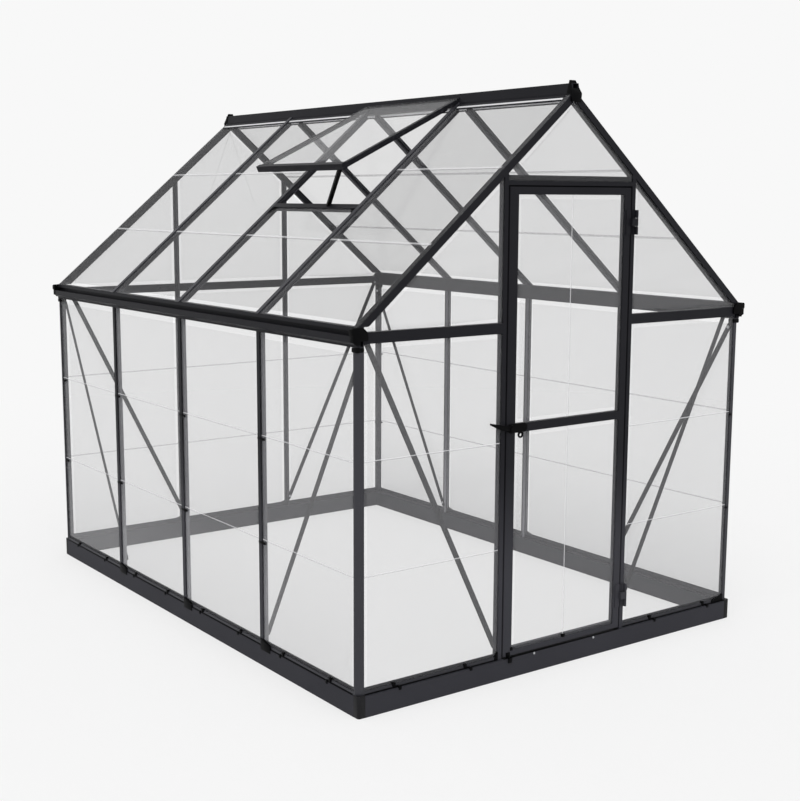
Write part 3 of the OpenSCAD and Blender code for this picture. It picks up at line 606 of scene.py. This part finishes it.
@dataclass
class ClearSheets:
    """The clear sheets of one wall, slope, vent or door leaf, with margins of painted highlight and embossed
    lines that carry a painted highlight and a painted shade.
    """

    node: str
    body: str
    finish: Finish
    lines: Lines
    levels: tuple[float, ...] = ()
    margin: float = 22 * MM
    line_w: float = 6 * MM
    line_h: float = 0.8 * MM
    line_in: float = 9 * MM
    line_gap: float = 0.02 * MM
    broad_share: float = 0.05
    middle_z: float = 0.9

    def build(self) -> bpy.types.Object:
        """Make the sheets from the frame's own outlines.

        Returns:
            The piece that stands for the frame's node.
        """
        mesh = node_copy(self.node)
        for face in mesh.faces:
            face.material_index = 1
        broad = self.broad_share * max(face.calc_area() for face in mesh.faces)
        fields = [face for face in mesh.faces if face.calc_area() > broad]
        for face in [face for face in fields if self.is_outer(face)]:
            self.emboss(mesh, face)
        for face in fields:
            # The ring that the inset leaves round each field keeps material 1, the painted highlight of the
            # margin.
            bmesh.ops.inset_region(mesh, faces=[face], thickness=self.margin, use_even_offset=True)
            face.material_index = 0
        return make_piece(f"{self.node}_dressed", mesh, self.body,
                          (self.finish, MARGIN_PAINTED_HIGHLIGHT, EMBOSSED_LIGHT, EMBOSSED_SHADE), (self.node,))

    def is_outer(self, face: bmesh.types.BMFace) -> bool:
        """Say whether a broad face looks away from the middle of the building.

        Args:
            face: A broad face of a sheet.

        Returns:
            True for an outer face.
        """
        if self.node == "vent_pane":
            return face.normal.z > 0
        return face.normal.dot(face.calc_center_median() - UP * self.middle_z) > 0

    def emboss(self, mesh: bmesh.types.BMesh, face: bmesh.types.BMFace) -> None:
        """Add the lines that this sheet carries.

        Args:
            mesh: The mesh that gets the lines.
            face: The outer face of one sheet.
        """
        across = UP.cross(face.normal).normalized()
        up = face.normal.cross(across).normalized()
        corners = [vert.co.copy() for vert in face.verts]
        low = min(c.z for c in corners)
        high = max(c.z for c in corners)
        reach = [c.dot(across) for c in corners]
        middle = (min(reach) + max(reach)) / 2
        crossed = [z for z in self.levels if low + self.margin < z < high - self.margin]
        if self.lines is Lines.LEVEL:
            for z in crossed:
                self.strip(mesh, corners, face.normal, UP, z, across)
        if self.lines is Lines.MIDDLE:
            self.strip(mesh, corners, face.normal, across, middle, up)

    def strip(self, mesh: bmesh.types.BMesh, corners: list[Vector], normal: Vector, measure: Vector,
              level: float, run: Vector) -> None:
        """Add one low ridge across the sheet where it has a given level.

        Args:
            mesh: The mesh that gets the ridge.
            corners: Corners of the sheet in order.
            normal: Direction out of the sheet.
            measure: Direction in which the level is measured.
            level: The level at which the ridge runs.
            run: Direction along the ridge.
        """
        hits = []
        for a, b in zip(corners, corners[1:] + corners[:1]):
            da, db = a.dot(measure) - level, b.dot(measure) - level
            if da * db < 0:
                hits.append(a.lerp(b, da / (da - db)))
        if len(hits) < 2:
            return
        hits.sort(key=lambda p: p.dot(run))
        start, end = hits[0] + run * self.line_in, hits[-1] - run * self.line_in
        side = normal.cross(run).normalized()
        verts = []
        for point in (start, end):
            for width, height in ((-0.5, 0.0), (-0.1, 1.0), (0.1, 1.0), (0.5, 0.0)):
                spot = point + side * width * self.line_w + normal * height * self.line_h
                verts.append(mesh.verts.new(spot + normal * self.line_gap))
        # The crest, the ends and the flank that faces up or towards -x and -y get the painted highlight
        # (material 2); the other flank and the base get the painted shade (material 3).
        lit = side.z > 0 or side.x + side.y < 0
        for i, upper in ((0, not lit), (1, True), (2, lit)):
            flank = mesh.faces.new((verts[i], verts[i + 1], verts[5 + i], verts[4 + i]))
            flank.material_index = 2 if upper else 3
        mesh.faces.new((verts[3], verts[0], verts[4], verts[7])).material_index = 3
        mesh.faces.new(verts[3::-1]).material_index = 2
        mesh.faces.new(verts[4:]).material_index = 2


def wall_place(outward: Vector, reach: float, spot: float) -> Matrix:
    """Place of a fitting that was drawn at the origin for a wall that faces -Y.

    Args:
        outward: Direction out of the wall.
        reach: Distance of the wall face from the middle of the building.
        spot: Place along the wall, in x or in y.

    Returns:
        The turn about the upright and the move to the wall.
    """
    along = Vector((abs(outward.y), abs(outward.x), 0.0))
    turn = Matrix.Rotation(math.atan2(outward.y, outward.x) + math.pi / 2, 4, "Z")
    return Matrix.Translation(outward * reach + along * spot) @ turn


def join(mesh: bmesh.types.BMesh, part: bmesh.types.BMesh) -> None:
    """Add a part to a mesh and free it.

    Args:
        mesh: The mesh that gets the part.
        part: The part.
    """
    data = bpy.data.meshes.new("part")
    part.to_mesh(data)
    part.free()
    mesh.from_mesh(data)
    bpy.data.meshes.remove(data)


@dataclass
class WallFittings:
    """Black mouldings of one wall: sill clips, shoes at its uprights and joint bands, and a black strip of
    painted shadow under the sills.
    """

    building: Building
    wall: WallSide
    half_pitch: float = 152 * MM
    hook: tuple[float, float] = (12 * MM, 13 * MM)
    foot: tuple[float, float] = (11 * MM, 13 * MM)
    foot_shift: float = 19 * MM
    proud: float = 5 * MM
    shoe_l: float = 66 * MM
    shoe_high: float = 30 * MM
    shoe_low: float = 13 * MM
    shoe_drop: float = 12 * MM
    band_h: float = 8 * MM
    band_over: float = 1.5 * MM
    band_gap: float = 11 * MM
    band_l: float = 34 * MM
    sheet_in: float = 5 * MM
    post_in: float = 20.5 * MM
    sill_gap_shadow_h: float = 5 * MM
    chamfer: float = 1.2 * MM

    def build(self) -> None:
        """Make the wall's mouldings as one piece for each kind."""
        studs = self.wall.uprights
        posts = (self.wall.half - self.post_in,)
        shod = studs or (self.wall.half - self.building.bar_depth,)
        clipped = [bay + k * self.half_pitch for bay in self.wall.bays for k in (-1, 1)]
        self.gather("clips", (self.clip, clipped))
        self.gather("shoes", (self.shoe, shod))
        self.gather("bands", (self.stud_bands, studs), (self.post_bands, posts))
        self.gather("sill_gap_painted_shadow", (self.sill_gap_painted_shadow, (0.0,)))

    def gather(self, kind: str, *rows: tuple[Callable[[bmesh.types.BMesh], None], Sequence[float]]) -> None:
        """Draw one kind of moulding at all its places.

        Args:
            kind: The word that ends the piece's name.
            *rows: The method that draws one moulding at the origin, and its places along the wall.
        """
        mesh = bmesh.new()
        for draw, spots in rows:
            for spot in spots:
                part = bmesh.new()
                draw(part)
                place = wall_place(self.wall.outward, 0.0, spot)
                bmesh.ops.transform(part, matrix=place, verts=part.verts)
                join(mesh, part)
        make_piece(f"{self.wall.name}_{kind}", mesh, "frame", (BLACK_NYLON,))

    def clip(self, part: bmesh.types.BMesh) -> None:
        """Draw a sill clip: a hook on the sill and a foot over the lip of the base.

        Args:
            part: The mesh that gets the clip.
        """
        z = self.building.base_z
        w, h = self.hook
        top = z + self.foot[1] / 2 + h
        add_block(part, (-w / 2, -self.wall.sill - self.proud, top - h),
                  (w / 2, -self.wall.sill + self.proud, top), self.chamfer)
        w, h = self.foot
        middle = self.foot_shift * self.wall.hand
        add_block(part, (middle - w / 2, -self.wall.base - self.proud / 2, z - h / 2),
                  (middle + w / 2, -self.wall.sill + self.proud, z + h / 2), self.chamfer)
        low, high = sorted((0.0, middle))
        add_block(part, (low, -self.wall.sill - self.proud / 2, z),
                  (high, -self.wall.sill + self.proud / 2, z + self.foot[1] / 2), self.chamfer)

    def shoe(self, part: bmesh.types.BMesh) -> None:
        """Draw a wedge-shaped shoe that runs from an upright's foot along the sill.

        On a long wall it also laps over the base, which is flush with the wall there.

        Args:
            part: The mesh that gets the shoe.
        """
        z = self.building.base_z
        run = -self.wall.hand * self.shoe_l
        narrow = self.wall.base - self.wall.sill < self.proud
        foot = z - self.shoe_drop if narrow else z
        front = self.wall.base if narrow else self.wall.face
        outline = [(0.0, foot), (run, foot), (run, z + self.shoe_low), (0.0, z + self.shoe_high)]
        if run < 0:
            outline.reverse()
        add_plate(part, outline, -front - self.proud / 2, -self.wall.sill + self.proud, self.chamfer)

    def stud_bands(self, part: bmesh.types.BMesh) -> None:
        """Draw the clips over a stud, which reach across its whole face."""
        self.bands(part, self.building.stud_w / 2)

    def post_bands(self, part: bmesh.types.BMesh) -> None:
        """Draw the clips over a corner post, which stop at its middle."""
        self.bands(part, 0.0)

    def bands(self, part: bmesh.types.BMesh, tail: float) -> None:
        """Draw the two clips that lie over an upright where its sheets are embossed.

        Args:
            part: The mesh that gets the clips.
            tail: How far they reach past the middle of the upright.
        """
        head = self.band_l if self.wall.name == "left" else self.building.stud_w / 2
        low, high = sorted((-self.wall.hand * head, self.wall.hand * tail))
        for level in self.building.wall_lines():
            top = level - self.band_gap + self.band_h / 2
            add_block(part, (low, -self.wall.face - self.band_over, top - self.band_h),
                      (high, -self.wall.face + self.sheet_in, top), self.band_over / 2)

    def sill_gap_painted_shadow(self, part: bmesh.types.BMesh) -> None:
        """Draw the thin black strip between the sills and the base: painted shadow in the gap.

        Args:
            part: The mesh that gets the seal.
        """
        z = self.building.base_z
        ends = self.wall.half - self.building.bar_depth
        gaps = [(-ends, ends)]
        if self.wall.name == "front":
            jamb = box_of("door_jambs")[1].x
            gaps = [(-ends, -jamb), (jamb, ends)]
        for low, high in gaps:
            add_block(part, (low, -self.wall.sill - self.chamfer, z),
                      (high, -self.wall.sill + self.proud, z + self.sill_gap_shadow_h), self.chamfer / 2)


@dataclass
class PostSockets:
    """Black sockets that hold the head of each corner post below the gutters."""

    building: Building
    height: float = 17 * MM
    proud: float = 1.5 * MM
    chamfer: float = 4 * MM

    def build(self) -> None:
        """Make the four sockets."""
        mesh = bmesh.new()
        b = self.building
        deep = b.bar_depth + self.proud
        for side in (-1, 1):
            for end in (-1, 1):
                xs = sorted(side * (b.wall_x + grow) for grow in (self.proud, -deep))
                ys = sorted(end * (b.wall_y + grow) for grow in (self.proud, -deep))
                add_block(mesh, (xs[0], ys[0], b.eave_z - self.height), (xs[1], ys[1], b.eave_z),
                          self.chamfer)
        make_piece("post_sockets", mesh, "frame", (BLACK_NYLON,))


@dataclass
class DoorFittings:
    """Small fittings at the foot of the door: threshold screws, a black strip of painted shadow under the
    door, clips, a bracket and a shoe.
    """

    screw_x: float = 147 * MM
    screw_r: float = 4.5 * MM
    screw_drop: float = 3.5 * MM
    clip: float = 12 * MM
    proud: float = 2 * MM
    rail_clip_x: float = 4 * MM
    bracket_w: float = 17 * MM
    bracket_in: float = 22 * MM
    bracket_drop: float = 17 * MM
    bracket_gap: float = 3 * MM
    bracket_t: float = 4 * MM
    jamb_shoe_w: float = 15 * MM
    jamb_shoe_h: float = 30 * MM
    gap_shadow_t: float = 0.8 * MM
    gap_shadow_w: float = 18 * MM
    chamfer: float = 1 * MM

    def build(self) -> None:
        """Make the fittings of the frame and of the door leaf."""
        self.screws()
        self.leaf()
        self.jamb_shoe()
        self.door_gap_painted_shadow()

    def screws(self) -> None:
        """Set two pan-head screws in the front face of the base below the door."""
        mesh = bmesh.new()
        low, high = box_of("base_front")
        for side in (-1, 1):
            foot = Vector((side * self.screw_x, low.y, high.z - self.screw_drop))
            add_pin(mesh, foot, Vector((0, -1, 0)), self.screw_r, self.screw_r / 2, self.screw_r / 4)
        make_piece("threshold_screws", mesh, "frame", (ZINC,))

    def door_gap_painted_shadow(self) -> None:
        """Lay a thin black strip on the base below the door leaf: painted shadow in the gap under the door."""
        mesh = bmesh.new()
        low, high = box_of("base_front")
        half = box_of("door_stiles")[1].x
        add_block(mesh, (-half, low.y + self.proud, high.z - self.gap_shadow_t / 2),
                  (half, low.y + self.gap_shadow_w, high.z + self.gap_shadow_t), self.gap_shadow_t / 4)
        make_piece("door_gap_painted_shadow", mesh, "frame", (BLACK_NYLON,))

    def leaf(self) -> None:
        """Make the clips and the foot bracket that the leaf carries."""
        mesh = bmesh.new()
        low, _ = box_of("door_stiles")
        rail, _ = box_of("door_rails")
        step = box_of("door_panes")[0]
        base_low, base_high = box_of("base_front")
        top = step.z + self.clip
        for x in (rail.x, self.rail_clip_x):
            add_block(mesh, (x - self.clip / 2, low.y - self.proud, top - self.clip / 2),
                      (x + self.clip / 2, low.y + self.clip / 2, top + self.clip / 2), self.chamfer)
        x0 = low.x + self.bracket_in - self.bracket_w / 2
        x1 = x0 + self.bracket_w
        front = base_low.y - self.bracket_gap - self.bracket_t
        shelf = base_high.z + self.bracket_gap
        for near, foot, far, head in (
                (low.y - self.bracket_t, shelf, low.y, shelf + self.bracket_w),
                (front, shelf, low.y, shelf + self.bracket_t),
                (front, shelf - self.bracket_drop, front + self.bracket_t, shelf + self.bracket_t)):
            add_block(mesh, (x0, near, foot), (x1, far, head), self.chamfer)
        make_piece("door_foot_fittings", mesh, "door", (BLACK_NYLON,))

    def jamb_shoe(self) -> None:
        """Make the shoe beside the foot of the lock-side jamb."""
        mesh = bmesh.new()
        low, _ = box_of("door_jambs")
        foot = low.z + self.proud
        outline = [(low.x - self.jamb_shoe_w, foot), (low.x, foot), (low.x, foot + self.jamb_shoe_h),
                   (low.x - self.jamb_shoe_w, foot + self.jamb_shoe_h / 3)]
        add_plate(mesh, outline, low.y - self.proud, low.y + self.jamb_shoe_w, self.chamfer)
        make_piece("jamb_shoe", mesh, "frame", (BLACK_NYLON,))


@dataclass
class RoofFittings:
    """Cover strips with a painted highlight band under the ridge, the vent's drip lips and the gussets of its
    sill.
    """

    building: Building
    skirt_from: float = 2 * MM
    highlight_from: float = 15 * MM
    strip_from: float = 26 * MM
    strip_to: float = 33 * MM
    strip_t: float = 2 * MM
    end_gap: float = 4 * MM
    lip_w: float = 5 * MM
    lip_h: float = 6 * MM
    lip_back: float = 60 * MM
    gusset: float = 34 * MM
    gusset_t: float = 4 * MM
    chamfer: float = 0.8 * MM

    def build(self) -> None:
        """Make the strips of both slopes, the gussets and the drip lips."""
        low, high = box_of("left_rafters")
        half = self.building.stud_w / 2
        end = self.building.wall_y - half
        rafters = [-end, low.y + half, 0.0, high.y - half, end]
        bays = [(a + half + self.end_gap, b - half - self.end_gap) for a, b in zip(rafters, rafters[1:])]
        vent = box_of("vent_sill")
        open_bay = (vent[0].y + vent[1].y) / 2
        self.strips("left_ridge_strips", -1, [bay for bay in bays if not bay[0] < open_bay < bay[1]])
        self.strips("right_ridge_strips", 1, bays)
        self.gussets(vent)
        self.vent_lips()

    def slope(self, side: int) -> tuple[Vector, Vector, Vector]:
        """Top edge of a slope's sheets, its fall line and its outward normal.

        Args:
            side: -1 for the left slope, 1 for the right one.

        Returns:
            A point on the upper face at the top edge, the downhill direction and the normal.
        """
        low, high = box_of("right_roof_panes")
        fall = Vector((side * (high.x - low.x), 0.0, low.z - high.z)).normalized()
        normal = Vector((-side * fall.z, 0.0, side * fall.x))
        return Vector((side * low.x, 0.0, high.z)), fall, normal

    def strips(self, name: str, side: int, bays: Sequence[tuple[float, float]]) -> None:
        """Lay one strip in each bay.

        Args:
            name: The piece's name.
            side: -1 for the left slope, 1 for the right one.
            bays: Ends of the strips along the ridge.
        """
        top, fall, normal = self.slope(side)
        mesh = bmesh.new()
        axes = Matrix((fall, Vector((0, 1, 0)), normal)).transposed().to_4x4()
        for start, end in bays:
            part = bmesh.new()
            # Dark skirt, off-white band of painted highlight (material 1), dark strip.
            for near, far, rise, tone in ((self.skirt_from, self.highlight_from, 1.0, 0),
                                          (self.highlight_from, self.strip_from, 0.5, 1),
                                          (self.strip_from, self.strip_to, 1.0, 0)):
                made = len(part.faces)
                add_block(part, (near, start, -self.strip_t / 2), (far, end, self.strip_t * rise),
                          self.chamfer / 2)
                for face in list(part.faces)[made:]:
                    face.material_index = tone
            bmesh.ops.transform(part, matrix=Matrix.Translation(top) @ axes, verts=part.verts)
            join(mesh, part)
        bmesh.ops.recalc_face_normals(mesh, faces=mesh.faces)
        make_piece(name, mesh, "frame", (DARK_COAT, RIDGE_PAINTED_HIGHLIGHT))

    def vent_lips(self) -> None:
        """Hang a drip lip under both side bars of the open vent."""
        low, high = box_of("vent_side_bars")
        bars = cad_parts["vent_side_bars"].data
        normal = max((face.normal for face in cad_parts["vent_pane"].data.polygons), key=lambda n: n.z)
        across = Vector((0.0, 1.0, 0.0))
        fall = normal.cross(across).normalized()
        fall = fall if fall.z < 0 else -fall
        under = min(vert.co.dot(normal) for vert in bars.vertices)
        along = [vert.co.dot(fall) for vert in bars.vertices]
        axes = Matrix((fall, across, normal)).transposed().to_4x4()
        mesh = bmesh.new()
        for start in (low.y, high.y - self.lip_w):
            part = bmesh.new()
            add_block(part, (min(along) + self.lip_back, start, under - self.lip_h),
                      (max(along), start + self.lip_w, under), self.lip_h / 4)
            bmesh.ops.transform(part, matrix=axes, verts=part.verts)
            join(mesh, part)
        bmesh.ops.recalc_face_normals(mesh, faces=mesh.faces)
        make_piece("vent_drip_lips", mesh, "frame", (DARK_COAT,))

    def gussets(self, sill: tuple[Vector, Vector]) -> None:
        """Make the three-cornered plates that tie the vent sill to its rafters.

        Args:
            sill: Lowest and highest corner of the vent sill.
        """
        _, fall, normal = self.slope(-1)
        low, high = sill
        mesh = bmesh.new()
        for end, inward in ((low.y, 1), (high.y, -1)):
            corner = Vector((low.x, end, low.z)) - fall * self.gusset / 3 + normal * self.gusset_t
            flat = [corner, corner + Vector((0, inward * self.gusset, 0)), corner + fall * self.gusset]
            rings = [[mesh.verts.new(p + normal * t) for p in flat] for t in (0.0, self.gusset_t)]
            mesh.faces.new(rings[0])
            mesh.faces.new(rings[1])
            for i in range(3):
                mesh.faces.new((rings[0][i], rings[0][(i + 1) % 3], rings[1][(i + 1) % 3], rings[1][i]))
        bmesh.ops.recalc_face_normals(mesh, faces=mesh.faces)
        round_edges(mesh, list(mesh.edges), self.chamfer)
        make_piece("vent_sill_gussets", mesh, "frame", (BLACK_NYLON,))


@dataclass
class BraceBolts:
    """Hexagon bolts at both ends of every brace, on its inner face."""

    node: str
    axis: int
    radius: float = 6.5 * MM
    head: float = 4 * MM
    end_in: float = 16 * MM

    def build(self) -> None:
        """Find the ends of each brace and set a bolt there."""
        source = node_copy(self.node, flat=False)
        mesh = bmesh.new()
        for brace in islands(source):
            top = max(p.z for p in brace)
            foot = min(p.z for p in brace)
            ends = [[p for p in brace if abs(p.z - z) < self.end_in] for z in (top, foot)]
            upper, lower = (sum(end, Vector()) / len(end) for end in ends)
            run = (lower - upper).normalized()
            wall = math.copysign(1.0, upper[self.axis])
            inner = min(abs(p[self.axis]) for p in brace) * wall
            inward = Vector((0, 0, 0))
            inward[self.axis] = -wall
            for point, step in ((upper, run), (lower, -run)):
                place = point + step * self.end_in
                place[self.axis] = inner
                add_pin(mesh, place, inward, self.radius, self.head, self.head / 4, sides=6)
        source.free()
        make_piece(f"{self.node}_bolts", mesh, "frame", (ZINC,))


def islands(mesh: bmesh.types.BMesh) -> list[list[Vector]]:
    """Split a mesh into its separate solids.

    Args:
        mesh: The mesh.

    Returns:
        The points of each solid.
    """
    seen = set()
    found = []
    for first in mesh.verts:
        if first in seen:
            continue
        group = [first]
        seen.add(first)
        for vert in group:
            fresh = [edge.other_vert(vert) for edge in vert.link_edges]
            fresh = [other for other in dict.fromkeys(fresh) if other not in seen]
            seen.update(fresh)
            group.extend(fresh)
        found.append([vert.co.copy() for vert in group])
    return found


@dataclass
class SoftMoulding:
    """A moulded frame node with the rounded edges that its mould gives it."""

    node: str
    body: str
    finish: Finish
    radius: float
    sharp: float = 40.0

    def build(self) -> bpy.types.Object:
        """Round the node's sharp edges.

        Returns:
            The piece that stands for the frame's node.
        """
        mesh = node_copy(self.node)
        edges = [edge for edge in mesh.edges
                 if edge.is_manifold and edge.calc_face_angle() > math.radians(self.sharp)]
        round_edges(mesh, edges, self.radius, clamp=True)
        return make_piece(f"{self.node}_moulded", mesh, self.body, (self.finish,),
                          (self.node,))


@dataclass
class FrameCoats:
    """The finishes of the frame nodes that stay in view."""

    building: Building
    in_from_face: float = 8 * MM
    facing: float = 0.9

    def build(self) -> None:
        """Coat every node, then give the webs of the long-wall studs their painted light."""
        for tone, nodes in NODE_TONES.items():
            for node in nodes:
                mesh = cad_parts[node].data
                if not mesh.materials:
                    mesh.materials.append(None)
                for i in range(len(mesh.materials)):
                    mesh.materials[i] = tone.value.material()
            LOG.info("finish %s on %d nodes", tone.value.name, len(nodes))
        for node in ("left_studs", "right_studs"):
            self.webs(node)

    def webs(self, node: str) -> None:
        """Give the webs of a wall's studs, which stand behind the sheets, their paler coat of painted light.

        Args:
            node: The node that holds the studs.
        """
        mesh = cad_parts[node].data
        mesh.materials.append(STUD_WEB_PAINTED_LIGHT.material())
        inside = self.building.wall_x - self.in_from_face
        for face in mesh.polygons:
            if abs(face.normal.y) > self.facing and abs(face.center.x) < inside:
                face.material_index = len(mesh.materials) - 1
        LOG.info("finish %s on the webs of %s", STUD_WEB_PAINTED_LIGHT.name, node)


def main() -> None:
    """Build the studio and every sub-assembly in order."""
    logging.basicConfig(level=logging.INFO, format="%(name)s: %(message)s")
    building = Building().measure()
    Studio().build()
    FrameCoats(building).build()
    levels = building.wall_lines()
    for node, sheet in (("left_panes", SIDE_SHEET), ("right_panes", SIDE_SHEET),
                        ("front_panes", WALL_SHEET), ("rear_panes", WALL_SHEET)):
        ClearSheets(node, "frame", sheet, Lines.LEVEL, levels).build()
    levels = building.roof_lines()
    for node in ("left_roof_panes", "right_roof_panes"):
        ClearSheets(node, "frame", ROOF_SHEET, Lines.LEVEL, levels, line_w=14 * MM).build()
    ClearSheets("vent_pane", "frame", VENT_SHEET, Lines.NONE).build()
    ClearSheets("door_panes", "door", WALL_SHEET, Lines.MIDDLE).build()
    for wall in building.walls():
        WallFittings(building, wall).build()
    PostSockets(building).build()
    DoorFittings().build()
    RoofFittings(building).build()
    BraceBolts("side_braces", axis=0).build()
    BraceBolts("gable_braces", axis=1).build()
    for node, finish, radius in (("gutter_end_caps", BLACK_NYLON, 2.5 * MM),
                                 ("ridge_end_caps", BLACK_NYLON, 2 * MM),
                                 ("base_corners", CORNER_PAINTED_LIGHT, 2 * MM)):
        SoftMoulding(node, "frame", finish, radius).build()


if __name__ == "__main__":
    main()
